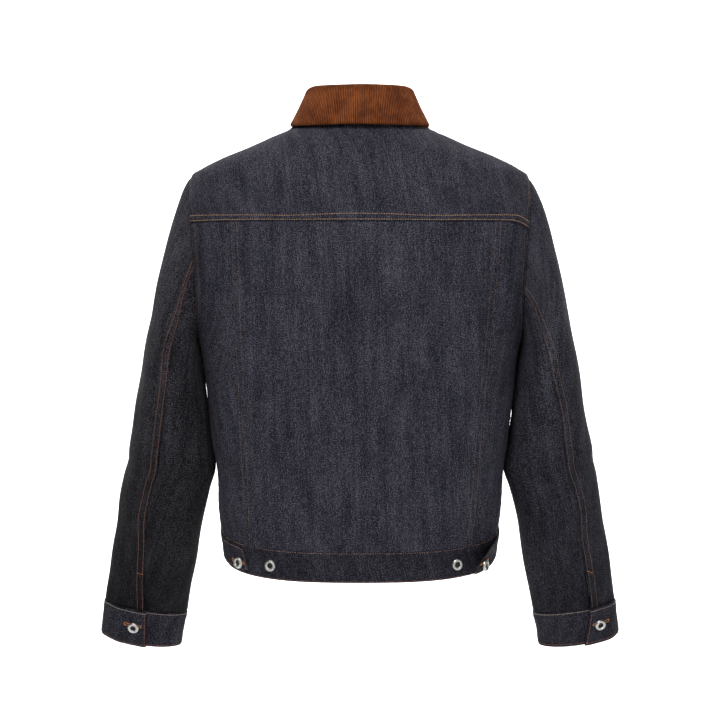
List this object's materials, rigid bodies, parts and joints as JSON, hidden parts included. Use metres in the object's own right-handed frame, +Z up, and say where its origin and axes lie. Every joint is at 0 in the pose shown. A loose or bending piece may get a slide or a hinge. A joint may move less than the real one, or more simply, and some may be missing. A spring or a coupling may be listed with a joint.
{
  "type": "denim jacket",
  "caption": "Waist-length denim trucker jacket with a corduroy collar, filled out as worn, open at the neck, hem and cuffs.",
  "frame": {"origin": "middle of the neck, level with the back neck seam, where the wearer's shoulders carry the jacket", "axes": "+Z up, +Y the way the wearer faces, +X the wearer's right"},
  "size_m": [0.7309, 0.2347, 0.7716],
  "materials": {
    "denim": "rinse-dark indigo denim twill, matt, with pale slub",
    "corduroy": "rust-brown fine-wale corduroy, soft nap",
    "button_metal": "silver tack button with a dark sunk middle"
  },
  "bodies": {
    "root": {"back_centre": "denim", "back_side_left": "denim", "back_side_right": "denim", "back_yoke": "denim", "button_cuff_left": "button_metal", "button_cuff_right": "button_metal", "button_front_1": "button_metal", "button_front_2": "button_metal", "button_front_3": "button_metal", "button_front_4": "button_metal", "button_front_5": "button_metal", "button_tab_left": "button_metal", "button_tab_right": "button_metal", "button_waist_front": "button_metal", "button_waist_left": "button_metal", "button_waist_right": "button_metal", "collar": "corduroy", "cuff_left": "denim", "cuff_right": "denim", "front_left": "denim", "front_placket": "denim", "front_right": "denim", "sleeve_left_top": "denim", "sleeve_left_under": "denim", "sleeve_right_top": "denim", "sleeve_right_under": "denim", "waist_tab_left": "denim", "waist_tab_right": "denim", "waistband": "denim"}
  },
  "joints": []
}
